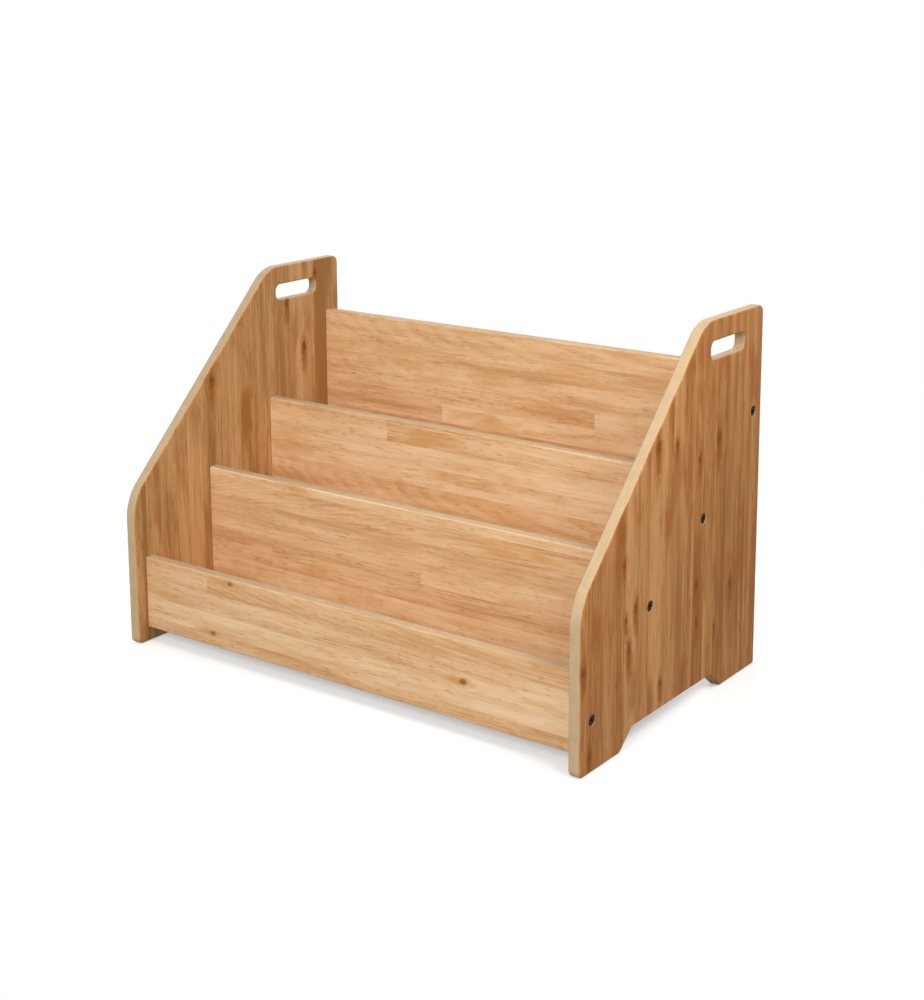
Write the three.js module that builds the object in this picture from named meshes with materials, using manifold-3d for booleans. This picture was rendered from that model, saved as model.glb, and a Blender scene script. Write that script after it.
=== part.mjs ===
// A picture book browser bin for the floor: two side panels with hand slots carry four cross
// boards and three shelves, which make three stepped troughs that books stand in.
// Millimetres, +Z up. The front is towards -Y, and the origin is on the floor under the middle.
import * as THREE from 'three';
import { mergeVertices } from 'three/addons/utils/BufferGeometryUtils.js';
import Module from 'manifold-3d';

const wasm = await Module();
wasm.setup();

// Overall size
const WIDTH = 700;
const DEPTH = 414;
const HEIGHT = 466;

// Board stock, and the gap between faces that meet
const PANEL_THICK = 15;
const BOARD_THICK = 15;
const SHELF_THICK = 15;
const FIT = 0.3;

// Side panel outline: a plumb front edge, a knee, a sloping edge and a level top
const KNEE_HEIGHT = 196.5;
const TOP_LENGTH = 146;
const KNEE_RADIUS = 60;
const TOP_FRONT_RADIUS = 46;
const TOP_REAR_RADIUS = 10;
const TOE_RADIUS = 8;
const PANEL_ROUND = 2.5;

// Feet that the cut-out in each panel's lower edge leaves
const FRONT_FOOT = 85;
const REAR_FOOT = 91;
const FOOT_SLANT = 28;
const FOOT_HEIGHT = 22;

// Hand slot, placed by its middle
const SLOT_LENGTH = 84;
const SLOT_HEIGHT = 22;
const SLOT_RADIUS = 9;
const SLOT_BELOW_TOP = 37;
const SLOT_FROM_REAR = 90;

// Cross boards and shelves
const FRONT_SETBACK = 18;
const BACK_SETBACK = 13;
const GROUND_GAP = 19;
const FRONT_HEIGHT = 97;
const SHELF_RAISE = 6;
const LOWER_RISE = 94.5;
const UPPER_RISE = 72.5;
const LIP_HEIGHT = 76;
const BACK_BELOW_TOP = 76;
const BOARD_ROUND = 2.5;
const SHELF_ROUND = 1;

// Connector bolts, with their heads sunk in the panels and barrel nuts in the boards' rear faces
const BOLT_BELOW_TOP = 55;
const BOLT_DIAMETER = 6;
const BOLT_CHAMFER = 1;
const BOLT_PAST_NUT = 2;
const HEAD_DIAMETER = 13;
const HEAD_HEIGHT = 2.8;
const HEAD_CHAMFER = 0.8;
const HEAD_RECESS = 0.8;
const SOCKET_ACROSS = 4;
const SOCKET_SIDES = 6;
const SOCKET_DEPTH = 2;
const NUT_DIAMETER = 10;
const NUT_INSET = 30;
const NUT_CHAMFER = 0.6;
const NUT_RECESS = 0.5;
const NUT_COVER = 2;
const DRIVER_SLOT_WIDTH = 1.4;
const DRIVER_SLOT_DEPTH = 1.6;

// Wooden dowels, which keep the boards and shelves from turning
const DOWEL_DIAMETER = 8;
const DOWEL_LENGTH = 30;
const DOWEL_CHAMFER = 1;
const DOWEL_COVER = 4.5;
const DOWEL_BELOW_TOP = 18;
const DOWEL_ABOVE_BOTTOM = 18;
const DOWEL_FROM_SHELF_EDGE = 22;

// Facets
const ARC_STEPS = 6;
const ROUND_STEPS = 2;
const ROUND_SIDES = 10;
const HEAD_SIDES = 16;

const FRONT = -DEPTH / 2;
const REAR = DEPTH / 2;
const PANEL_INNER = WIDTH / 2 - PANEL_THICK;
const BOARD_END = PANEL_INNER - FIT;
const HEAD_SEAT = WIDTH / 2 - HEAD_RECESS - HEAD_HEIGHT;
const NUT_MIDDLE = BOARD_END - NUT_INSET;
const BOLT_TIP = NUT_MIDDLE - NUT_DIAMETER / 2 - BOLT_PAST_NUT;
const DOWEL_OUTER = WIDTH / 2 - DOWEL_COVER - FIT;
const DOWEL_INNER = DOWEL_OUTER - DOWEL_LENGTH;
const SIDES = [['left', -1], ['right', 1]];

const MATERIALS = {
  panel: { color: 0xb07d4d, roughness: 0.55, metalness: 0 },
  board: { color: 0xd8ac7a, roughness: 0.5, metalness: 0 },
  shelf: { color: 0xcfa271, roughness: 0.55, metalness: 0 },
  dowel: { color: 0xdcc096, roughness: 0.7, metalness: 0 },
  bolt: { color: 0x2b211b, roughness: 0.4, metalness: 0.8 },
  nut: { color: 0xb9b6ae, roughness: 0.35, metalness: 1 },
};

// Shapes are drawn in the depth and height plane and run along the width
const ALONG_WIDTH = new THREE.Matrix4().makeBasis(
  new THREE.Vector3(0, 1, 0),
  new THREE.Vector3(0, 0, 1),
  new THREE.Vector3(1, 0, 0),
);

function toSolid(geometry) {
  const bare = geometry.clone();
  bare.deleteAttribute('normal');
  bare.deleteAttribute('uv');
  const merged = mergeVertices(bare);
  return new wasm.Manifold(new wasm.Mesh({
    numProp: 3,
    vertProperties: new Float32Array(merged.getAttribute('position').array),
    triVerts: new Uint32Array(merged.index.array),
  }));
}

function toGeometry(solid) {
  const mesh = solid.getMesh();
  const geometry = new THREE.BufferGeometry();
  geometry.setAttribute('position', new THREE.BufferAttribute(mesh.vertProperties, 3));
  geometry.setIndex(new THREE.BufferAttribute(mesh.triVerts, 1));
  geometry.computeVertexNormals();
  return geometry;
}

function cut(solid, cutters) {
  return cutters.reduce((rest, cutter) => rest.subtract(cutter), solid);
}

// A round bar along the width between two places across it
function barAcross(diameter, from, to, y, z, sides) {
  const length = Math.abs(to - from);
  const bar = new THREE.CylinderGeometry(diameter / 2, diameter / 2, length, sides);
  bar.rotateZ(Math.PI / 2);
  bar.translate((from + to) / 2, y, z);
  return toSolid(bar);
}

function revolve(profile, sides) {
  return new THREE.LatheGeometry(profile.map(([r, along]) => new THREE.Vector2(r, along)), sides);
}

// The profile of a round pin with a chamfer at each end
function pinProfile(diameter, length, chamfer) {
  const radius = diameter / 2;
  return [
    [0, 0], [radius - chamfer, 0], [radius, chamfer],
    [radius, length - chamfer], [radius - chamfer, length], [0, length],
  ];
}

// A revolved piece whose axis runs along the width, out of the middle towards one side
function turnedAcross(profile, sides, from, side, y, z) {
  const turned = revolve(profile, sides);
  turned.rotateZ(-side * Math.PI / 2);
  turned.translate(from, y, z);
  return toSolid(turned);
}

function roundedBox(y, z, depth, height, radius) {
  const quarter = Math.PI / 2;
  const shape = new THREE.Shape();
  shape.absarc(y + depth - radius, z + radius, radius, -quarter, 0, false);
  shape.absarc(y + depth - radius, z + height - radius, radius, 0, quarter, false);
  shape.absarc(y + radius, z + height - radius, radius, quarter, 2 * quarter, false);
  shape.absarc(y + radius, z + radius, radius, 2 * quarter, 3 * quarter, false);
  return shape;
}

// A plank that fills the width between the panels
function plank(y, z, depth, height, radius) {
  const outline = roundedBox(y, z, depth, height, radius);
  const length = 2 * BOARD_END;
  const run = new THREE.ExtrudeGeometry(outline, {
    depth: length, bevelEnabled: false, curveSegments: ROUND_STEPS,
  });
  run.translate(0, 0, -length / 2);
  run.applyMatrix4(ALONG_WIDTH);
  return toSolid(run);
}

// Where the cross boards and shelves stand
function layOut() {
  const frontY = FRONT + FRONT_SETBACK;
  const backY = REAR - BACK_SETBACK - BOARD_THICK;
  const undersides = [GROUND_GAP + SHELF_RAISE];
  undersides.push(undersides[0] + LOWER_RISE);
  undersides.push(undersides[1] + UPPER_RISE);
  const lipTop = (tier) => undersides[tier] + SHELF_THICK + LIP_HEIGHT;
  const spans = [
    ['front_board', GROUND_GAP, GROUND_GAP + FRONT_HEIGHT],
    ['lower_divider', undersides[0], lipTop(1)],
    ['upper_divider', undersides[1], lipTop(2)],
    ['back_board', undersides[2], HEIGHT - BACK_BELOW_TOP],
  ];
  const pitch = (backY - frontY) / (spans.length - 1);
  const boards = spans.map(([name, bottom, top], index) => {
    const y = frontY + index * pitch;
    return {
      name,
      y,
      bottom,
      top,
      middleY: y + BOARD_THICK / 2,
      boltZ: top - BOLT_BELOW_TOP,
      dowels: [['top', top - DOWEL_BELOW_TOP], ['bottom', bottom + DOWEL_ABOVE_BOTTOM]],
    };
  });
  const shelves = ['lower_shelf', 'middle_shelf', 'upper_shelf'].map((name, tier) => {
    const y = boards[tier].y + BOARD_THICK + FIT;
    const depth = boards[tier + 1].y - FIT - y;
    return {
      name,
      y,
      depth,
      bottom: undersides[tier],
      middleZ: undersides[tier] + SHELF_THICK / 2,
      dowels: [['front', y + DOWEL_FROM_SHELF_EDGE], ['back', y + depth - DOWEL_FROM_SHELF_EDGE]],
    };
  });
  return { boards, shelves };
}

const { boards, shelves } = layOut();

// Every dowel's name and place, first in the boards' ends and then in the shelves' ends
const dowelPlaces = [
  ...boards.flatMap((board) => board.dowels.map(([end, z]) => [board.name, end, board.middleY, z])),
  ...shelves.flatMap((shelf) => shelf.dowels.map(([end, y]) => [shelf.name, end, y, shelf.middleZ])),
];

function panelOutline() {
  const slope = Math.atan2(HEIGHT - KNEE_HEIGHT, DEPTH - TOP_LENGTH);
  const kneeTangent = KNEE_RADIUS * Math.tan((Math.PI / 2 - slope) / 2);
  const topTangent = TOP_FRONT_RADIUS * Math.tan(slope / 2);
  const upright = Math.PI / 2;
  const outline = new THREE.Shape();
  outline.moveTo(REAR - REAR_FOOT, 0);
  outline.lineTo(REAR, 0);
  outline.absarc(REAR - TOP_REAR_RADIUS, HEIGHT - TOP_REAR_RADIUS, TOP_REAR_RADIUS, 0, upright, false);
  outline.absarc(
    REAR - TOP_LENGTH + topTangent, HEIGHT - TOP_FRONT_RADIUS, TOP_FRONT_RADIUS,
    upright, upright + slope, false,
  );
  outline.absarc(
    FRONT + KNEE_RADIUS, KNEE_HEIGHT - kneeTangent, KNEE_RADIUS,
    upright + slope, Math.PI, false,
  );
  outline.absarc(FRONT + TOE_RADIUS, TOE_RADIUS, TOE_RADIUS, Math.PI, 3 * upright, false);
  outline.lineTo(FRONT + FRONT_FOOT, 0);
  outline.lineTo(FRONT + FRONT_FOOT + FOOT_SLANT, FOOT_HEIGHT);
  outline.lineTo(REAR - REAR_FOOT - FOOT_SLANT, FOOT_HEIGHT);
  const slotRadius = Math.min(SLOT_RADIUS, SLOT_HEIGHT / 2 - FIT);
  outline.holes.push(roundedBox(
    REAR - SLOT_FROM_REAR - SLOT_LENGTH / 2,
    HEIGHT - SLOT_BELOW_TOP - SLOT_HEIGHT / 2,
    SLOT_LENGTH,
    SLOT_HEIGHT,
    slotRadius,
  ));
  return outline;
}

// A side panel with rounded arrises, sunk bolt holes and blind dowel holes in its inner face
function sidePanel(side) {
  const slab = new THREE.ExtrudeGeometry(panelOutline(), {
    depth: PANEL_THICK - 2 * PANEL_ROUND,
    bevelEnabled: true,
    bevelThickness: PANEL_ROUND,
    bevelSize: PANEL_ROUND,
    bevelOffset: -PANEL_ROUND,
    bevelSegments: ROUND_STEPS,
    curveSegments: ARC_STEPS,
  });
  slab.translate(0, 0, PANEL_ROUND + (side > 0 ? PANEL_INNER : -WIDTH / 2));
  slab.applyMatrix4(ALONG_WIDTH);
  const cutters = [];
  for (const board of boards) {
    const { middleY, boltZ } = board;
    const outside = side * (WIDTH / 2 + FIT);
    const inside = side * (PANEL_INNER - FIT);
    const seat = side * (HEAD_SEAT - FIT);
    cutters.push(barAcross(HEAD_DIAMETER + 2 * FIT, seat, outside, middleY, boltZ, HEAD_SIDES));
    cutters.push(barAcross(BOLT_DIAMETER + 2 * FIT, inside, outside, middleY, boltZ, ROUND_SIDES));
  }
  for (const [, , y, z] of dowelPlaces) {
    const mouth = side * (PANEL_INNER - FIT);
    cutters.push(barAcross(DOWEL_DIAMETER + 2 * FIT, mouth, side * (DOWEL_OUTER + FIT), y, z, ROUND_SIDES));
  }
  return cut(toSolid(slab), cutters);
}

function dowelHoles(places) {
  const holes = [];
  for (const [, side] of SIDES) {
    for (const [, , y, z] of places) {
      const mouth = side * (BOARD_END + FIT);
      holes.push(barAcross(DOWEL_DIAMETER + 2 * FIT, side * (DOWEL_INNER - FIT), mouth, y, z, ROUND_SIDES));
    }
  }
  return holes;
}

// The barrel nut's bore, or the nut itself, from the board's rear face forwards
function barrel(diameter, x, rearY, length, z) {
  const turned = revolve(pinProfile(diameter, length, NUT_CHAMFER), ROUND_SIDES);
  turned.translate(x, rearY - length, z);
  return toSolid(turned);
}

function crossBoard(board) {
  const { y, bottom, top, middleY, boltZ } = board;
  const body = plank(y, bottom, BOARD_THICK, top - bottom, BOARD_ROUND);
  const cutters = dowelHoles(dowelPlaces.filter(([name]) => name === board.name));
  for (const [, side] of SIDES) {
    const mouth = side * (BOARD_END + FIT);
    const bore = BOLT_DIAMETER + 2 * FIT;
    cutters.push(barAcross(bore, side * (BOLT_TIP - FIT), mouth, middleY, boltZ, ROUND_SIDES));
    const rearY = y + BOARD_THICK + FIT;
    const boreDepth = BOARD_THICK - NUT_COVER + FIT;
    cutters.push(barrel(NUT_DIAMETER + 2 * FIT, side * NUT_MIDDLE, rearY, boreDepth, boltZ));
  }
  return cut(body, cutters);
}

function shelfBoard(shelf) {
  const body = plank(shelf.y, shelf.bottom, shelf.depth, SHELF_THICK, SHELF_ROUND);
  return cut(body, dowelHoles(dowelPlaces.filter(([name]) => name === shelf.name)));
}

function connectorBolt(board, side) {
  const shank = BOLT_DIAMETER / 2;
  const head = HEAD_DIAMETER / 2;
  const reach = HEAD_SEAT - BOLT_TIP;
  const face = reach + HEAD_HEIGHT;
  const profile = [
    [0, 0], [shank - BOLT_CHAMFER, 0], [shank, BOLT_CHAMFER], [shank, reach], [head, reach],
    [head, face - HEAD_CHAMFER], [head - HEAD_CHAMFER, face], [0, face],
  ];
  const bolt = turnedAcross(profile, HEAD_SIDES, side * BOLT_TIP, side, board.middleY, board.boltZ);
  const socketFloor = side * (HEAD_SEAT + HEAD_HEIGHT - SOCKET_DEPTH);
  const socketWidth = SOCKET_ACROSS / Math.cos(Math.PI / SOCKET_SIDES);
  const mouth = side * (WIDTH / 2 + FIT);
  return bolt.subtract(
    barAcross(socketWidth, socketFloor, mouth, board.middleY, board.boltZ, SOCKET_SIDES),
  );
}

// A barrel nut with the bolt's bore across it and a screwdriver slot that turns it into line
function barrelNut(board, side) {
  const x = side * NUT_MIDDLE;
  const rearY = board.y + BOARD_THICK - NUT_RECESS;
  const length = BOARD_THICK - NUT_RECESS - NUT_COVER - FIT;
  const nut = barrel(NUT_DIAMETER, x, rearY, length, board.boltZ);
  const bore = barAcross(
    BOLT_DIAMETER + 2 * FIT, x - NUT_DIAMETER, x + NUT_DIAMETER, board.middleY, board.boltZ, ROUND_SIDES,
  );
  const slot = new THREE.BoxGeometry(2 * NUT_DIAMETER, 2 * DRIVER_SLOT_DEPTH, DRIVER_SLOT_WIDTH);
  slot.translate(x, rearY, board.boltZ);
  return cut(nut, [bore, toSolid(slot)]);
}

function dowel(side, y, z) {
  const profile = pinProfile(DOWEL_DIAMETER, DOWEL_LENGTH, DOWEL_CHAMFER);
  return turnedAcross(profile, ROUND_SIDES, side * DOWEL_INNER, side, y, z);
}

const bin = new THREE.Group();
bin.name = 'picture_book_browser_bin';

function addPart(name, finish, solid) {
  const material = new THREE.MeshStandardMaterial({ ...MATERIALS[finish], flatShading: true });
  const mesh = new THREE.Mesh(toGeometry(solid), material);
  mesh.name = name;
  bin.add(mesh);
}

for (const [hand, side] of SIDES) {
  addPart(`${hand}_side_panel`, 'panel', sidePanel(side));
}
for (const board of boards) {
  addPart(board.name, 'board', crossBoard(board));
  for (const [hand, side] of SIDES) {
    addPart(`${board.name}_bolt_${hand}`, 'bolt', connectorBolt(board, side));
    addPart(`${board.name}_nut_${hand}`, 'nut', barrelNut(board, side));
  }
}
for (const shelf of shelves) {
  addPart(shelf.name, 'shelf', shelfBoard(shelf));
}
for (const [name, end, y, z] of dowelPlaces) {
  for (const [hand, side] of SIDES) {
    addPart(`${name}_dowel_${hand}_${end}`, 'dowel', dowel(side, y, z));
  }
}

export default bin;
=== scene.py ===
import math

import bpy
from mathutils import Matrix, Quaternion, Vector


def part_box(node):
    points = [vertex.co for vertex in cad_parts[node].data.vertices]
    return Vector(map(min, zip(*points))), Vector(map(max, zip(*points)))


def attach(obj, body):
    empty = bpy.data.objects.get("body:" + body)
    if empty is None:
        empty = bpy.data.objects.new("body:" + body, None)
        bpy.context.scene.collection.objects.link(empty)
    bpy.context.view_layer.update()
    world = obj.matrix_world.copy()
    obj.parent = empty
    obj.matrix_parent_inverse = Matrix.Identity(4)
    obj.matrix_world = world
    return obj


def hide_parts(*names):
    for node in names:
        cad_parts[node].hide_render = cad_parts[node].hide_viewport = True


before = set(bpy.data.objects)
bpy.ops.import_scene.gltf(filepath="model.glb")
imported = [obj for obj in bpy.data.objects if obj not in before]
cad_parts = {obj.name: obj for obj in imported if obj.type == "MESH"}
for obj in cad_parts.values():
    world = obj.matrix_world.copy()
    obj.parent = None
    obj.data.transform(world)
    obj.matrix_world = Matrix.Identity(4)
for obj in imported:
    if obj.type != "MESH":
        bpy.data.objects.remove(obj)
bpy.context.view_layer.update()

# A picture book browser bin, dressed in its woods and metals. Metres, +Z up, front towards -Y.

# Camera, as the photograph was taken
PHOTO_WIDTH = 924
PHOTO_HEIGHT = 1000
SENSOR = 36.0
FOCAL_PIXELS = 1740.6
AXIS_PIXEL = (478.5, 320.0)
VIEW_AZIMUTH = math.radians(35.805)
VIEW_ELEVATION = math.radians(10.953)
VIEW_ROLL = math.radians(-0.135)
VIEW_DISTANCE = 2.1385
VIEW_TARGET = Vector((0.0671, 0, 0.4472))

# Side panel outline and arrises
KNEE_HEIGHT = 0.1965
TOP_LENGTH = 0.146
KNEE_RADIUS = 0.060
TOP_FRONT_RADIUS = 0.046
TOP_REAR_RADIUS = 0.010
TOE_RADIUS = 0.008
FRONT_FOOT = 0.085
REAR_FOOT = 0.091
FOOT_SLANT = 0.028
FOOT_HEIGHT = 0.022
SLOT_LENGTH = 0.084
SLOT_HEIGHT = 0.022
SLOT_RADIUS = 0.009
SLOT_BELOW_TOP = 0.037
SLOT_FROM_REAR = 0.090
PANEL_ROUND = 0.0025

# Cross boards and shelves
BOARD_ROUND = 0.0025
SHELF_ROUND = 0.001

# Fasteners and the clearance in their bores
FIT = 0.0003
HEAD_DIAMETER = 0.013
HEAD_HEIGHT = 0.0028
HEAD_ROUND = 0.0009
SHANK_DIAMETER = 0.006
SHANK_CHAMFER = 0.001
SOCKET_ACROSS = 0.004
SOCKET_DEPTH = 0.002
NUT_DIAMETER = 0.010
NUT_CHAMFER = 0.0006
NUT_COVER = 0.002
NUT_SLOT_WIDTH = 0.0014
NUT_SLOT_DEPTH = 0.0016
DOWEL_DIAMETER = 0.008

# Smoothness
CORNER_STEPS = 14
ROUND_STEPS = 5
BORE_SIDES = 32
SMOOTH_ANGLE = math.radians(35)
SHARP = math.cos(math.radians(30))
AREA_WEIGHT = 100
FACING = 0.9
NEAR = 1e-5

BOARDS = ("front_board", "lower_divider", "upper_divider", "back_board")
SHELVES = ("lower_shelf", "middle_shelf", "upper_shelf")
HANDS = ("left", "right")


class Wire:
    """An output socket in a material. Arithmetic on it adds Math nodes."""

    def __init__(self, tree, socket=None):
        self.tree = tree
        self.socket = socket

    def node(self, kind, settings=None, inputs=None, output=0):
        """Adds a node, sets it up, fills its sockets and gives one of its outputs."""
        made = self.tree.nodes.new("ShaderNode" + kind)
        for name, value in (settings or {}).items():
            if name == "stops":
                lay_stops(made.color_ramp, value)
            else:
                setattr(made, name, value)
        for key, value in (inputs or {}).items():
            if isinstance(value, Wire):
                self.tree.links.new(value.socket, made.inputs[key])
            else:
                made.inputs[key].default_value = value
        return Wire(self.tree, made.outputs[output] if len(made.outputs) else None)

    def out(self, name):
        return Wire(self.tree, self.socket.node.outputs[name])

    def maths(self, operation, *values):
        return self.node("Math", {"operation": operation}, dict(enumerate(values)))

    def __add__(self, other):
        return self.maths("ADD", self, other)

    def __radd__(self, other):
        return self.maths("ADD", other, self)

    def __sub__(self, other):
        return self.maths("SUBTRACT", self, other)

    def __rsub__(self, other):
        return self.maths("SUBTRACT", other, self)

    def __mul__(self, other):
        return self.maths("MULTIPLY", self, other)

    def __rmul__(self, other):
        return self.maths("MULTIPLY", other, self)

    def __truediv__(self, other):
        return self.maths("DIVIDE", self, other)

    def __rtruediv__(self, other):
        return self.maths("DIVIDE", other, self)

    def floor(self):
        return self.maths("FLOOR", self)

    def fraction(self):
        return self.maths("FRACT", self)

    def size(self):
        return self.maths("ABSOLUTE", self)

    def least(self, other):
        return self.maths("MINIMUM", self, other)

    def most(self, other):
        return self.maths("MAXIMUM", self, other)

    def rise(self, low, high):
        """A soft step from 0 at low to 1 at high."""
        return self.node(
            "MapRange", {"interpolation_type": "SMOOTHSTEP"},
            {"Value": self, "From Min": low, "From Max": high},
        )

    def vector(self, x, y, z):
        return self.node("CombineXYZ", None, {0: x, 1: y, 2: z})

    def noise(self, place, scale=1.0, detail=2.0, roughness=0.5):
        return self.node(
            "TexNoise", None,
            {"Vector": place, "Scale": scale, "Detail": detail, "Roughness": roughness},
        )

    def blend(self, factor, under, over):
        """A colour mix of under and over."""
        return self.node("Mix", {"data_type": "RGBA"}, {0: factor, 6: under, 7: over}, 2)


def lay_stops(ramp, stops):
    while len(ramp.elements) < len(stops):
        ramp.elements.new(1.0)
    for element, (place, colour) in zip(ramp.elements, stops):
        element.position = place
        element.color = colour


def colour(red, green, blue):
    return (red, green, blue, 1.0)


def new_material(name):
    material = bpy.data.materials.new(name)
    material.use_nodes = True
    material.node_tree.nodes.clear()
    return material, Wire(material.node_tree)


def finish_material(wire, shader):
    wire.node("OutputMaterial", None, {"Surface": shader})


# Woods

# Marks to a metre, across and along the grain
STREAKS_ACROSS = 52.0
FIBRES_ACROSS = 460.0
FIBRES_ALONG = 15.0
DASHES_ACROSS = 620.0
CLOUDS_ACROSS = 34.0
CLOUDS_ALONG = 9.0
EDGE_THROUGH = 900.0
EDGE_ALONG = 24.0
EDGE_MOTTLE = 60.0

# How far each mark moves the tone, from 0 for the dark to 1 for the light
MEAN_TONE = 0.54
STAVE_GAIN = 0.42
FIBRE_GAIN = 0.75
RING_GAIN = 0.17

# Growth rings: where the pith may lie beside and below the face, and how the rings bow and sway
PITH_ASIDE = 0.07
PITH_BELOW = 0.006
PITH_BELOW_MORE = 0.05
RING_PITCH = 0.0052
RING_SWAY = 0.010
RING_BOW = 0.16
ARCH_REACH = 0.7

# Knots: how long the heart and the smear are for their width, and how far the grain goes round
HEART_STRETCH = 0.42
SMEAR_ACROSS = 0.30
SMEAR_ALONG = 0.016
SMEAR_TRAIL = 2.2
GRAIN_PUSH = 0.8

SEAM_WIDTH = 0.0007
SEAM_SHADE = 0.18
WOOD_GLOSS = 0.06


def growth_rings(wire, along, across, through, row, chance):
    """Late wood lines of one stave, 0 to 1, which run out into arches where the stave is flat sawn."""
    pith = (chance.out("Red") - 0.5) * PITH_ASIDE
    depth = chance.out("Green") * PITH_BELOW_MORE + PITH_BELOW + through * 0.3
    sway = wire.noise(wire.vector(along * 5.0, across * 30.0, row * 3.7))
    aside = across - pith + (sway - 0.5) * RING_SWAY
    radius = wire.maths("SQRT", aside * aside + depth * depth)
    apex = (chance.out("Blue") - 0.5) * ARCH_REACH
    bow = (along - apex) * (along - apex) * RING_BOW
    rings = ((radius + bow) / RING_PITCH + sway * 2.0).fraction()
    return rings.rise(0.25, 0.85) * (1.0 - rings.rise(0.88, 1.0))


def knots_on(wire, along, across, knots):
    """Heart and smear masks of the knots, and how far they push the grain aside."""
    ragged = wire.noise(wire.vector(across * 300.0, along * 130.0, 2.0)) - 0.5
    heart = 0.0
    smear = 0.0
    push = 0.0
    for knot_across, knot_along, radius in knots:
        aside = (across - knot_across) / radius
        ahead = (along - knot_along) / radius
        aside_squared = aside * aside
        near = wire.maths("SQRT", aside_squared + ahead * ahead * HEART_STRETCH)
        heart = heart + (1.0 - (near + ragged * 2.2).rise(0.20, 1.85))
        trail = ahead + SMEAR_TRAIL
        far = wire.maths("SQRT", aside_squared * SMEAR_ACROSS + trail * trail * SMEAR_ALONG)
        smear = smear + (1.0 - (far + ragged).rise(0.15, 1.30))
        push = push + aside * (1.0 - near.rise(0.5, 4.5)) * (radius * GRAIN_PUSH)
    return heart, smear, push


def stave_chance(wire, row, run, through, seed):
    """Three random numbers for each stave, different on the board's two faces."""
    layer = (through * 9.0 + seed).floor()
    white = wire.node(
        "TexWhiteNoise", {"noise_dimensions": "3D"},
        {"Vector": wire.vector(row + 0.5, run.floor() + layer * 7.0, seed)}, "Color",
    )
    return wire.node("SeparateColor", None, {0: white})


def edge_wood(wire, place, along, across, through, pale):
    """The bare, pale end grain and edges of a board."""
    grain_place = wire.vector(through * EDGE_THROUGH, along * EDGE_ALONG, across * EDGE_ALONG)
    grain = wire.noise(grain_place, detail=3.0, roughness=0.6)
    mottle = wire.noise(place, EDGE_MOTTLE, 3.0, 0.6)
    tone = (grain - 0.5) * 0.8 + (mottle - 0.5) * 0.9 + 0.5
    return wire.blend(tone, pale[0], pale[1])


def wood(name, axes, middle, stave, joint, fade, figure, tones, knots, seed):
    """Glued-up wood.

    axes: the ways along, across and through the grain. middle: the board's middle, through.
    stave: width and start of the staves. joint: first end joint, step from row to row, length.
    fade: where across the tone starts and ends to sink, and by how much; this is painted shade.
    """
    material, wire = new_material(name)
    place = wire.node("TexCoord", None, None, "Object")
    split = wire.node("SeparateXYZ", None, {0: place})
    along, across, through = (split.out(axis) for axis in axes)
    facing = wire.node("SeparateXYZ", None, {0: wire.node("NewGeometry", None, None, "Normal")})
    on_edge = 1.0 - facing.out(axes[2]).size().rise(0.50, 0.66)

    stave_width, stave_start = stave
    lane = (across - stave_start) / stave_width
    row = lane.floor()
    inside = lane.fraction()
    joint_at, joint_step, stave_length = joint
    run = (along - joint_at - row * joint_step) / stave_length
    chance = stave_chance(wire, row, run, through, seed)

    heart, smear, push = knots_on(wire, along, across, knots)
    bent = across - push
    aside = (inside - 0.5) * stave_width - push
    shift = chance.out("Red") * 9.0 + row * 1.7 + through * 20.0
    rings = growth_rings(wire, along, aside, through - middle, row, chance)
    figured = rings * chance.out("Blue").rise(0.35, 0.95)
    streak_place = wire.vector(bent * STREAKS_ACROSS, along * figure["streak_run"], shift)
    fibre_place = wire.vector(bent * FIBRES_ACROSS, along * FIBRES_ALONG, shift)
    dash_place = wire.vector(bent * DASHES_ACROSS, along * figure["dash_run"], shift)
    cloud_place = wire.vector(bent * CLOUDS_ACROSS, along * CLOUDS_ALONG, shift)
    streaks = wire.noise(streak_place, detail=4.0, roughness=0.62)
    fibres = wire.noise(fibre_place, detail=3.0, roughness=0.6)
    dashes = wire.noise(dash_place).rise(0.56, 0.72)
    clouds = wire.noise(cloud_place, detail=4.0).rise(0.50, 0.72)

    tone = MEAN_TONE + (chance.out("Green") - 0.5) * STAVE_GAIN
    tone = tone + (streaks - 0.5) * figure["streak_gain"] + (fibres - 0.5) * FIBRE_GAIN
    tone = tone - figured * RING_GAIN - dashes * figure["dash_gain"]
    # Painted shade: the tone sinks across the board, darker towards one side, where less light falls.
    fade_from, fade_to, fade_by = fade
    tone = tone - across.rise(fade_from, fade_to) * fade_by
    dark, middling, light, rust, pale = tones
    face = wire.node(
        "ValToRGB", {"stops": [(0.10, dark), (0.50, middling), (0.90, light)]}, {"Fac": tone},
    )
    face = wire.blend(clouds * figure["cloud_gain"], face, rust)
    face = wire.blend(chance.out("Blue") * 0.20, face, rust)
    face = wire.blend(chance.out("Red") * 0.18, face, light)
    if knots:
        face = wire.blend(smear.least(0.92), face, rust)
        face = wire.blend((heart * 0.72).least(0.78), face, KNOT_HEART)
    seam = inside.least(1.0 - inside).rise(0.0, SEAM_WIDTH / stave_width)
    face = wire.blend((1.0 - seam) * SEAM_SHADE, face, dark)
    surface = wire.blend(on_edge, face, edge_wood(wire, place, along, across, through, pale))

    relief = fibres * 0.5 - dashes * 0.6 - figured * 0.25
    bump = wire.node(
        "Bump", None, {"Strength": 0.35, "Distance": 0.0004, "Height": relief},
    )
    roughness = 0.54 + (fibres - 0.5) * 0.16 + dashes * 0.10 + on_edge * 0.06
    shader = wire.node(
        "BsdfPrincipled", None,
        {"Base Color": surface, "Roughness": roughness, "Normal": bump, "Specular IOR Level": WOOD_GLOSS},
    )
    finish_material(wire, shader)
    return material


KNOT_HEART = colour(0.180, 0.050, 0.010)
PALE_EDGE = (colour(0.44, 0.305, 0.175), colour(0.58, 0.435, 0.275))

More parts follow.
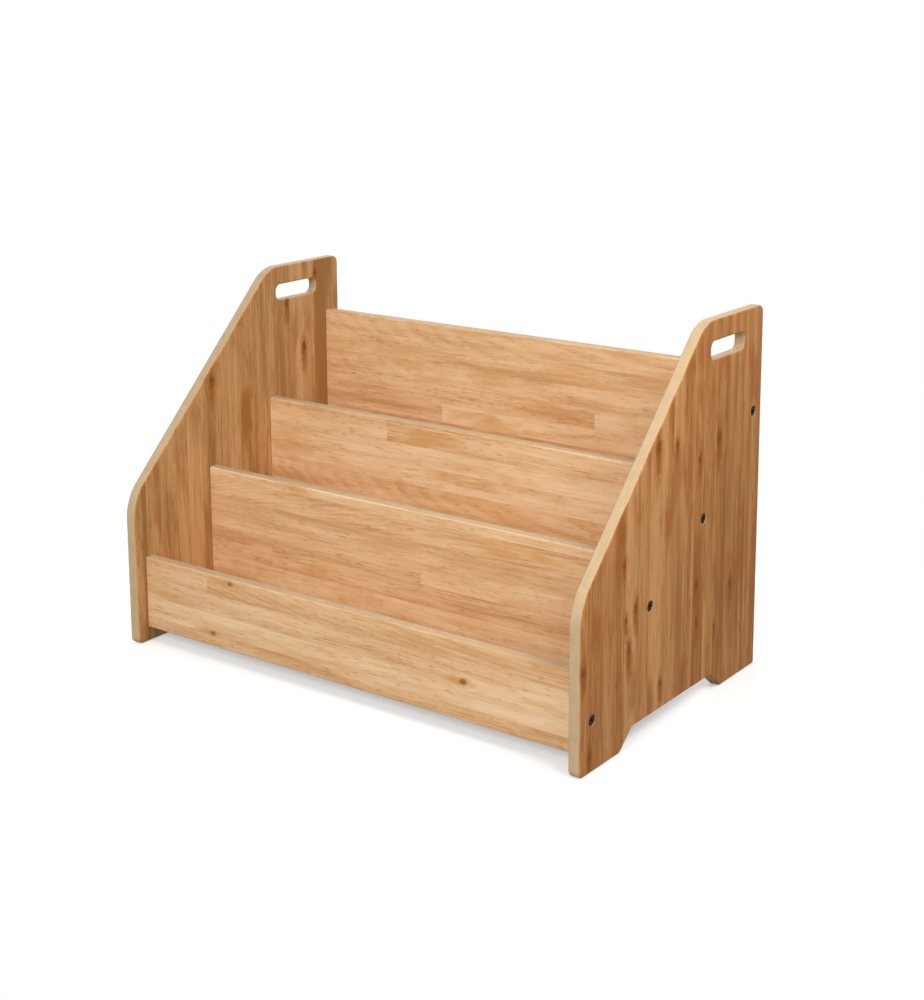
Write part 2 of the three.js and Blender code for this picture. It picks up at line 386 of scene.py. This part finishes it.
# Dark, middling, light and rust tones of each wood, and its edges
RIGHT_TONES = (
    colour(0.316, 0.120, 0.032), colour(0.513, 0.237, 0.080), colour(0.630, 0.341, 0.140),
    colour(0.322, 0.098, 0.017), PALE_EDGE,
)
# The left panel's tones are a lighter copy of the panel wood: painted light, making up for the shade on
# its inner face inside the bin.
LIGHTENED_LEFT_TONES = (
    colour(0.310, 0.145, 0.044), colour(0.530, 0.288, 0.116), colour(0.660, 0.408, 0.200),
    colour(0.340, 0.130, 0.028), PALE_EDGE,
)
BOARD_TONES = (
    colour(0.500, 0.250, 0.098), colour(0.695, 0.435, 0.232), colour(0.800, 0.575, 0.355),
    colour(0.590, 0.300, 0.105), PALE_EDGE,
)

# Knots: place across and along the grain, and radius
RIGHT_KNOTS = (
    (-0.117, 0.222, 0.0030), (-0.091, 0.163, 0.0038), (-0.112, 0.154, 0.0026), (-0.105, 0.118, 0.0042),
    (0.050, 0.148, 0.0042), (0.052, 0.103, 0.0036), (0.136, 0.127, 0.0040), (0.097, 0.082, 0.0026),
    (-0.200, 0.122, 0.0034), (-0.033, 0.053, 0.0034), (-0.186, 0.020, 0.0034), (-0.002, 0.334, 0.0032),
    (-0.045, 0.340, 0.0046), (0.099, 0.320, 0.0050), (0.053, 0.304, 0.0036),
)
LEFT_KNOTS = (
    (0.156, 0.448, 0.0030), (0.096, 0.412, 0.0040), (0.130, 0.344, 0.0044), (-0.058, 0.328, 0.0042),
)
FRONT_KNOTS = ((0.109, -0.184, 0.0026), (0.037, -0.216, 0.0026), (0.067, 0.180, 0.0032))


def bare_dowel_wood():
    """The plain wood of a dowel, with its grain along X."""
    material, wire = new_material("bare_dowel_wood")
    split = wire.node("SeparateXYZ", None, {0: wire.node("TexCoord", None, None, "Object")})
    across = wire.vector(split.out("X") * 40.0, split.out("Y") * 900.0, split.out("Z") * 900.0)
    fibres = wire.noise(across, 1.0, 3.0, 0.6)
    face = wire.blend(fibres, colour(0.56, 0.38, 0.20), colour(0.74, 0.56, 0.34))
    bump = wire.node("Bump", None, {"Strength": 0.3, "Distance": 0.0003, "Height": fibres})
    shader = wire.node(
        "BsdfPrincipled", None,
        {"Base Color": face, "Roughness": 0.62 + fibres * 0.12, "Normal": bump},
    )
    finish_material(wire, shader)
    return material


def plated_steel(name, dark, light, rough, metal):
    """Plated steel with fine specks and rubbed patches."""
    material, wire = new_material(name)
    place = wire.node("TexCoord", None, None, "Object")
    cloud = wire.noise(place, 420.0, 3.0, 0.6)
    speck = wire.noise(place, 2600.0, 2.0, 0.5)
    rub = cloud.rise(0.42, 0.72)
    face = wire.blend(rub * 0.8 + speck * 0.2, dark, light)
    bump = wire.node("Bump", None, {"Strength": 0.2, "Distance": 0.0001, "Height": speck})
    shader = wire.node(
        "BsdfPrincipled", None,
        {
            "Base Color": face, "Metallic": metal, "Normal": bump,
            "Roughness": rough + (speck - 0.5) * 0.2 - rub * 0.06, "Specular IOR Level": 0.06,
        },
    )
    finish_material(wire, shader)
    return material


# Modelling helpers

def deselect():
    bpy.ops.object.select_all(action="DESELECT")


def only(piece):
    deselect()
    piece.select_set(True)
    bpy.context.view_layer.objects.active = piece


def settle(name):
    """Names the new primitive and puts its place and size into its mesh."""
    piece = bpy.context.active_object
    piece.name = name
    piece.data.name = name
    only(piece)
    bpy.ops.object.transform_apply(location=True, rotation=True, scale=True)
    return piece


def block(name, low, high):
    deselect()
    low, high = Vector(low), Vector(high)
    bpy.ops.mesh.primitive_cube_add(size=1, location=(low + high) / 2, scale=high - low)
    return settle(name)


def rod(name, start, end, radius, sides=BORE_SIDES):
    """A cylinder between two points on one axis."""
    deselect()
    start, end = Vector(start), Vector(end)
    run = end - start
    turn = run.to_track_quat("Z", "Y").to_euler()
    bpy.ops.mesh.primitive_cylinder_add(
        vertices=sides, radius=radius, depth=run.length, location=(start + end) / 2, rotation=turn,
    )
    return settle(name)


def pick_points(piece, wanted):
    """In edit mode, selects the vertices that the wanted test accepts."""
    bpy.ops.mesh.select_all(action="DESELECT")
    bpy.ops.mesh.select_mode(type="VERT")
    bpy.ops.object.mode_set(mode="OBJECT")
    for vertex in piece.data.vertices:
        vertex.select = wanted(vertex.co)
    bpy.ops.object.mode_set(mode="EDIT")


def pick_faces(piece, wanted):
    """In edit mode, selects the faces that the wanted test accepts."""
    bpy.ops.mesh.select_all(action="DESELECT")
    bpy.ops.mesh.select_mode(type="FACE")
    bpy.ops.object.mode_set(mode="OBJECT")
    for face in piece.data.polygons:
        face.select = wanted(face)
    bpy.ops.object.mode_set(mode="EDIT")


def pick_arrises(piece, wanted):
    """In edit mode, selects the sharp edges that the wanted test accepts."""
    bpy.ops.mesh.select_all(action="DESELECT")
    bpy.ops.mesh.select_mode(type="EDGE")
    bpy.ops.object.mode_set(mode="OBJECT")
    mesh = piece.data
    beside = {}
    for face in mesh.polygons:
        for key in face.edge_keys:
            beside.setdefault(key, []).append(face.normal)
    for edge in mesh.edges:
        first, second = (mesh.vertices[i].co for i in edge.vertices)
        one_side, other_side = beside[edge.key]
        edge.select = one_side.dot(other_side) < SHARP and wanted(first, second)
    bpy.ops.object.mode_set(mode="EDIT")


def round_edges(piece, wanted, offset, steps):
    only(piece)
    bpy.ops.object.mode_set(mode="EDIT")
    pick_arrises(piece, wanted)
    bpy.ops.mesh.bevel(offset_type="OFFSET", offset=offset, segments=steps, profile=0.5, affect="EDGES")
    bpy.ops.object.mode_set(mode="OBJECT")


def along_x_at(y, z):
    """A test for an edge along X through a place."""
    def test(first, second):
        for point in (first, second):
            if abs(point.y - y) > NEAR or abs(point.z - z) > NEAR:
                return False
        return True
    return test


def gather(pieces, name):
    """Joins cutters that stand clear of each other into one."""
    deselect()
    for piece in pieces:
        piece.select_set(True)
    bpy.context.view_layer.objects.active = pieces[0]
    bpy.ops.object.join()
    joined = bpy.context.active_object
    joined.name = name
    return joined


def cut(piece, cutter):
    only(piece)
    difference = piece.modifiers.new("cut", "BOOLEAN")
    difference.operation = "DIFFERENCE"
    difference.solver = "EXACT"
    difference.object = cutter
    bpy.ops.object.modifier_apply(modifier=difference.name)
    bpy.data.objects.remove(cutter)


def smooth(piece):
    only(piece)
    bpy.ops.object.shade_smooth_by_angle(angle=SMOOTH_ANGLE)
    even = piece.modifiers.new("even", "WEIGHTED_NORMAL")
    even.keep_sharp = True
    even.weight = AREA_WEIGHT
    bpy.ops.object.modifier_apply(modifier=even.name)


def dress(piece, material, node):
    piece.data.materials.clear()
    piece.data.materials.append(material)
    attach(piece, "root")
    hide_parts(node)


# Side panels

def bolt_place(board, hand):
    """The bolt's axis in depth and height, and its inner and outer ends."""
    low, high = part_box(f"{board}_bolt_{hand}")
    ends = (low.x, high.x) if hand == "right" else (high.x, low.x)
    return (low.y + high.y) / 2, (low.z + high.z) / 2, ends


def dowel_cutters(names):
    """Rods a little larger than the dowels, for their bores."""
    cutters = []
    for name in names:
        low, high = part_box(name)
        middle = (low + high) / 2
        cutters.append(rod(
            "cutter", (low.x - FIT, middle.y, middle.z), (high.x + FIT, middle.y, middle.z),
            DOWEL_DIAMETER / 2 + FIT, BORE_SIDES // 2,
        ))
    return cutters


def foot_cutter(low, high):
    """The space between the feet, wider below than above."""
    front = low.y + FRONT_FOOT
    rear = high.y - REAR_FOOT
    cutter = block("cutter", (low.x - FIT, front, low.z - FOOT_HEIGHT), (high.x + FIT, rear, FOOT_HEIGHT))
    only(cutter)
    bpy.ops.object.mode_set(mode="EDIT")
    for place, step in ((front, FOOT_SLANT), (rear, -FOOT_SLANT)):
        pick_points(cutter, lambda co: abs(co.y - place) < NEAR and co.z > low.z)
        bpy.ops.transform.translate(value=(0, step, 0))
        pick_points(cutter, lambda co: abs(co.y - place) < NEAR and co.z < low.z)
        bpy.ops.transform.translate(value=(0, -step, 0))
    bpy.ops.object.mode_set(mode="OBJECT")
    return cutter


def slot_cutter(low, high):
    middle_y = high.y - SLOT_FROM_REAR
    middle_z = high.z - SLOT_BELOW_TOP
    half = Vector((0, SLOT_LENGTH / 2, SLOT_HEIGHT / 2))
    middle = Vector((0, middle_y, middle_z))
    start = middle - half + Vector((low.x - FIT, 0, 0))
    end = middle + half + Vector((high.x + FIT, 0, 0))
    cutter = block("cutter", start, end)
    round_edges(
        cutter, lambda first, second: abs(first.x - second.x) > NEAR, SLOT_RADIUS, CORNER_STEPS // 2,
    )
    return cutter


def side_panel(hand, dowels):
    name = f"{hand}_side_panel"
    low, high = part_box(name)
    piece = block(f"{name}_wood", low, high)

    slope = math.atan2(high.z - KNEE_HEIGHT, high.y - TOP_LENGTH - low.y)
    only(piece)
    bpy.ops.object.mode_set(mode="EDIT")
    bpy.ops.mesh.select_all(action="SELECT")
    bpy.ops.mesh.bisect(
        plane_co=(0, low.y, KNEE_HEIGHT), plane_no=(0, -math.sin(slope), math.cos(slope)),
        use_fill=True, clear_outer=True,
    )
    bpy.ops.object.mode_set(mode="OBJECT")

    knee_reach = KNEE_RADIUS * math.tan((math.pi / 2 - slope) / 2)
    top_reach = TOP_FRONT_RADIUS * math.tan(slope / 2)
    for y, z, reach in (
        (low.y, KNEE_HEIGHT, knee_reach),
        (high.y - TOP_LENGTH, high.z, top_reach),
        (high.y, high.z, TOP_REAR_RADIUS),
        (low.y, low.z, TOE_RADIUS),
    ):
        round_edges(piece, along_x_at(y, z), reach, CORNER_STEPS)

    cut(piece, foot_cutter(low, high))
    cut(piece, slot_cutter(low, high))

    def arris(first, second):
        for face in (low.x, high.x):
            if abs(first.x - face) < NEAR and abs(second.x - face) < NEAR:
                return True
        return False

    round_edges(piece, arris, PANEL_ROUND, ROUND_STEPS)

    outer, inner = (high.x, low.x) if hand == "right" else (low.x, high.x)
    out = 1 if hand == "right" else -1
    heads = []
    shanks = []
    for board in BOARDS:
        y, z, (_, face) = bolt_place(board, hand)
        seat = face - out * (HEAD_HEIGHT + FIT)
        heads.append(rod("cutter", (seat, y, z), (outer + out * FIT, y, z), HEAD_DIAMETER / 2 + FIT))
        shanks.append(rod(
            "cutter", (inner - out * FIT, y, z), (seat + out * FIT, y, z), SHANK_DIAMETER / 2 + FIT,
        ))
    cut(piece, gather(heads, "cutter"))
    cut(piece, gather(shanks, "cutter"))
    cut(piece, gather(dowel_cutters(dowels), "cutter"))
    smooth(piece)
    return piece


# Cross boards and shelves

def plank(node, radius):
    low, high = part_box(node)
    piece = block(f"{node}_wood", low, high)
    round_edges(piece, lambda first, second: abs(first.x - second.x) > NEAR, radius, ROUND_STEPS)
    return piece


def cross_board(board, dowels):
    piece = plank(board, BOARD_ROUND)
    low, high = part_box(board)
    bolts = []
    nuts = []
    for hand in HANDS:
        y, z, (tip, _) = bolt_place(board, hand)
        out = 1 if hand == "right" else -1
        end = high.x if hand == "right" else low.x
        bolts.append(rod(
            "cutter", (tip - out * FIT, y, z), (end + out * FIT, y, z), SHANK_DIAMETER / 2 + FIT,
        ))
        nut_low, nut_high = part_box(f"{board}_nut_{hand}")
        x = (nut_low.x + nut_high.x) / 2
        nuts.append(rod(
            "cutter", (x, low.y + NUT_COVER, z), (x, high.y + FIT, z), NUT_DIAMETER / 2 + FIT,
        ))
    cut(piece, gather(bolts, "cutter"))
    cut(piece, gather(nuts, "cutter"))
    cut(piece, gather(dowel_cutters(dowels), "cutter"))
    smooth(piece)
    return piece


def shelf_board(shelf, dowels):
    piece = plank(shelf, SHELF_ROUND)
    cut(piece, gather(dowel_cutters(dowels), "cutter"))
    smooth(piece)
    return piece


# Bolts and barrel nuts

def first_bolt():
    """A connector bolt that points along -X, with its head's face at the origin."""
    low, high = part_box("front_board_bolt_right")
    length = high.x - low.x
    piece = rod("bolt", (-HEAD_HEIGHT, 0, 0), (0, 0, 0), HEAD_DIAMETER / 2, BORE_SIDES * 2)
    only(piece)
    bpy.ops.object.mode_set(mode="EDIT")
    pick_faces(piece, lambda face: face.normal.x < -FACING)
    bpy.ops.mesh.inset(thickness=(HEAD_DIAMETER - SHANK_DIAMETER) / 2)
    bpy.ops.mesh.extrude_region_move(TRANSFORM_OT_translate={"value": (HEAD_HEIGHT - length, 0, 0)})
    bpy.ops.object.mode_set(mode="OBJECT")

    def at(x):
        return lambda first, second: abs(first.x - x) < NEAR and abs(second.x - x) < NEAR

    round_edges(piece, at(-length), SHANK_CHAMFER, 1)
    round_edges(piece, at(0), HEAD_ROUND, ROUND_STEPS)
    socket = SOCKET_ACROSS / 2 / math.cos(math.pi / 6)
    cut(piece, rod("cutter", (-SOCKET_DEPTH, 0, 0), (FIT, 0, 0), socket, 6))
    smooth(piece)
    return piece


def first_nut():
    """A barrel nut with its slotted face at the origin, towards +Y."""
    low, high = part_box("front_board_nut_right")
    length = high.y - low.y
    piece = rod("nut", (0, -length, 0), (0, 0, 0), NUT_DIAMETER / 2, BORE_SIDES * 2)
    for y in (0, -length):
        round_edges(
            piece, lambda first, second: abs(first.y - y) < NEAR and abs(second.y - y) < NEAR,
            NUT_CHAMFER, 2,
        )
    bolt_y, _, _ = bolt_place("front_board", "right")
    bore_y = bolt_y - high.y
    reach = NUT_DIAMETER
    cut(piece, rod("cutter", (-reach, bore_y, 0), (reach, bore_y, 0), SHANK_DIAMETER / 2 + FIT))
    slot_low = (-reach, -NUT_SLOT_DEPTH, -NUT_SLOT_WIDTH / 2)
    slot_high = (reach, NUT_SLOT_DEPTH, NUT_SLOT_WIDTH / 2)
    cut(piece, block("cutter", slot_low, slot_high))
    smooth(piece)
    return piece


def copy_to(pattern, name, place, half_turn=False):
    """A copy with its own mesh, turned half round or not, with its place in the mesh."""
    piece = pattern.copy()
    piece.data = pattern.data.copy()
    piece.name = name
    piece.data.name = name
    bpy.context.scene.collection.objects.link(piece)
    piece.location = place
    piece.rotation_euler = (0, 0, math.pi if half_turn else 0)
    only(piece)
    bpy.ops.object.transform_apply(location=True, rotation=True, scale=True)
    return piece


# Materials

ALONG_HEIGHT = ("Z", "Y", "X")
ALONG_WIDTH = ("X", "Z", "Y")
ALONG_SHELF = ("X", "Y", "Z")
NO_JOINT = (-4.0, 0.0, 9.0)

# Painted shade: where the tone starts and ends to sink across a board, and by how much
NO_FADE = (0.0, 1.0, 0.0)
# Painted shade on the right panel: darker towards the rear, where less light falls.
PAINTED_RIGHT_SHADE = (0.04, 0.19, 0.36)
# Painted shadow on the left panel: darker towards the rear, standing in for the shade that books and the
# back board cast there.
PAINTED_LEFT_SHADE = (0.02, 0.19, 0.16)

# Marks to a metre along the grain, and how strong they are
PANEL_FIGURE = {
    "streak_run": 2.6, "streak_gain": 2.10, "dash_run": 42.0, "dash_gain": 0.36, "cloud_gain": 0.82,
}
BOARD_FIGURE = {
    "streak_run": 4.5, "streak_gain": 1.70, "dash_run": 62.0, "dash_gain": 0.42, "cloud_gain": 0.75,
}
BOARD_JOINT = (-0.975, 0.25, 1.4)
panel_low, panel_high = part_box("right_side_panel")
PANEL_MIDDLE = (panel_low.x + panel_high.x) / 2
FRONT_MIDDLE = -0.18

right_wood = wood(
    "right_panel_wood", axes=ALONG_HEIGHT, middle=PANEL_MIDDLE, stave=(0.026, -0.011), joint=NO_JOINT,
    fade=PAINTED_RIGHT_SHADE, figure=PANEL_FIGURE, tones=RIGHT_TONES, knots=RIGHT_KNOTS, seed=2.0,
)
left_wood = wood(
    "left_panel_wood", axes=ALONG_HEIGHT, middle=-PANEL_MIDDLE, stave=(0.026, -0.003), joint=NO_JOINT,
    fade=PAINTED_LEFT_SHADE, figure=PANEL_FIGURE, tones=LIGHTENED_LEFT_TONES, knots=LEFT_KNOTS, seed=5.0,
)
front_wood = wood(
    "front_board_wood", axes=ALONG_WIDTH, middle=FRONT_MIDDLE, stave=(0.027, 0.009), joint=BOARD_JOINT,
    fade=NO_FADE, figure=BOARD_FIGURE, tones=BOARD_TONES, knots=FRONT_KNOTS, seed=9.0,
)
board_wood = wood(
    "board_wood", axes=ALONG_WIDTH, middle=0.0, stave=(0.027, 0.009), joint=BOARD_JOINT,
    fade=NO_FADE, figure=BOARD_FIGURE, tones=BOARD_TONES, knots=(), seed=7.0,
)
shelf_wood = wood(
    "shelf_wood", axes=ALONG_SHELF, middle=0.0, stave=(0.027, 0.004), joint=BOARD_JOINT,
    fade=NO_FADE, figure=BOARD_FIGURE, tones=BOARD_TONES, knots=(), seed=11.0,
)
dowel_wood = bare_dowel_wood()
bolt_steel = plated_steel(
    "dark_bolt_steel", colour(0.022, 0.011, 0.007), colour(0.058, 0.031, 0.019), rough=0.55, metal=0.10,
)
nut_steel = plated_steel(
    "zinc_nut_steel", colour(0.36, 0.35, 0.33), colour(0.62, 0.61, 0.58), rough=0.34, metal=1.0,
)

# The pieces

all_dowels = sorted(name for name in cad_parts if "_dowel_" in name)
for hand, finish in (("left", left_wood), ("right", right_wood)):
    mine = [name for name in all_dowels if f"_dowel_{hand}_" in name]
    dress(side_panel(hand, mine), finish, f"{hand}_side_panel")

for board in BOARDS:
    mine = [name for name in all_dowels if name.startswith(f"{board}_dowel")]
    finish = front_wood if board == "front_board" else board_wood
    dress(cross_board(board, mine), finish, board)

for shelf in SHELVES:
    mine = [name for name in all_dowels if name.startswith(f"{shelf}_dowel")]
    dress(shelf_board(shelf, mine), shelf_wood, shelf)

bolt = first_bolt()
nut = first_nut()
for board in BOARDS:
    for hand in HANDS:
        y, z, (_, face) = bolt_place(board, hand)
        piece = copy_to(bolt, f"{board}_bolt_{hand}_steel", (face, y, z), hand == "left")
        dress(piece, bolt_steel, f"{board}_bolt_{hand}")
        low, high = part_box(f"{board}_nut_{hand}")
        piece = copy_to(nut, f"{board}_nut_{hand}_steel", ((low.x + high.x) / 2, high.y, z))
        dress(piece, nut_steel, f"{board}_nut_{hand}")
bpy.data.objects.remove(bolt)
bpy.data.objects.remove(nut)

for name in all_dowels:
    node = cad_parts[name]
    node.data.materials.clear()
    node.data.materials.append(dowel_wood)

# Stage, light and camera

def seen_directly(wire):
    """1 for what the camera sees, also by way of metal or glass."""
    path = wire.node("LightPath", None, None, "Is Camera Ray")
    return path.most(path.out("Is Glossy Ray")).most(path.out("Is Transmission Ray"))


FLOOR_SIZE = 14
FLOOR_DROP = 0.0005
FLOOR_GREY = 0.72
FLOOR_GLOW = 0.38
FLOOR_BOUNCE = 0.34
FADE_FROM = 0.35
FADE_TO = 0.85
AMBIENT = 0.42
AIM = (0, 0, 0.2)


def studio_white():
    """The floor: it takes the object's shadow near it, and fades into plain white."""
    material, wire = new_material("studio_floor")
    split = wire.node("SeparateXYZ", None, {0: wire.node("TexCoord", None, None, "Object")})
    x, y = split.out("X"), split.out("Y")
    away = wire.maths("SQRT", x * x * 0.6 + y * y).rise(FADE_FROM, FADE_TO)
    matt = wire.node("BsdfDiffuse", None, {"Color": colour(FLOOR_GREY, FLOOR_GREY, FLOOR_GREY)})
    glow = wire.node("Emission", None, {"Color": colour(1, 1, 1), "Strength": FLOOR_GLOW})
    white = wire.node("Emission", None, {"Color": colour(1, 1, 1), "Strength": 1.0})
    lit = wire.node("AddShader", None, {0: matt, 1: glow})
    faded = wire.node("MixShader", None, {0: away, 1: lit, 2: white})
    dull = wire.node("BsdfDiffuse", None, {"Color": colour(FLOOR_BOUNCE, FLOOR_BOUNCE, FLOOR_BOUNCE)})
    shader = wire.node("MixShader", None, {0: seen_directly(wire), 1: dull, 2: faded})
    finish_material(wire, shader)
    return material


def studio_floor():
    deselect()
    bpy.ops.mesh.primitive_plane_add(size=FLOOR_SIZE, location=(0, 0, -FLOOR_DROP))
    floor = settle("floor")
    floor.data.materials.append(studio_white())


def studio_world():
    world = bpy.data.worlds.new("studio")
    bpy.context.scene.world = world
    world.use_nodes = True
    world.node_tree.nodes.clear()
    wire = Wire(world.node_tree)
    strength = AMBIENT + seen_directly(wire) * (1.0 - AMBIENT)
    sky = wire.node("Background", None, {"Color": colour(1, 1, 1), "Strength": strength})
    wire.node("OutputWorld", None, {"Surface": sky})


def lamp(name, place, size, power, tint):
    """A round area lamp that points at the middle of the bin."""
    deselect()
    bpy.ops.object.light_add(type="AREA", location=place)
    made = bpy.context.active_object
    made.name = name
    made.data.shape = "DISK"
    made.data.size = size
    made.data.energy = power
    made.data.color = tint
    made.rotation_euler = (Vector(AIM) - Vector(place)).to_track_quat("-Z", "Y").to_euler()


def photo_camera():
    level = math.cos(VIEW_ELEVATION)
    back = Vector((
        math.sin(VIEW_AZIMUTH) * level, -math.cos(VIEW_AZIMUTH) * level, math.sin(VIEW_ELEVATION),
    ))
    data = bpy.data.cameras.new("camera")
    camera = bpy.data.objects.new("camera", data)
    bpy.context.scene.collection.objects.link(camera)
    camera.location = VIEW_TARGET + back * VIEW_DISTANCE
    turn = back.to_track_quat("Z", "Y") @ Quaternion((0, 0, 1), VIEW_ROLL)
    camera.rotation_euler = turn.to_euler()
    data.sensor_width = SENSOR
    data.lens = FOCAL_PIXELS * SENSOR / PHOTO_HEIGHT
    data.shift_x = (PHOTO_WIDTH / 2 - AXIS_PIXEL[0]) / PHOTO_HEIGHT
    data.shift_y = (AXIS_PIXEL[1] - PHOTO_HEIGHT / 2) / PHOTO_HEIGHT
    bpy.context.scene.camera = camera


studio_floor()
studio_world()
lamp("key", (0.25, -2.4, 1.5), size=1.4, power=46, tint=(1.0, 0.99, 0.97))
lamp("side", (1.05, -0.3, 1.15), size=0.7, power=10.6, tint=(1.0, 0.98, 0.95))
lamp("back", (-1.7, 2.0, 2.0), size=2.0, power=46, tint=(1.0, 0.99, 0.97))
photo_camera()
bpy.context.scene.view_settings.view_transform = "Standard"
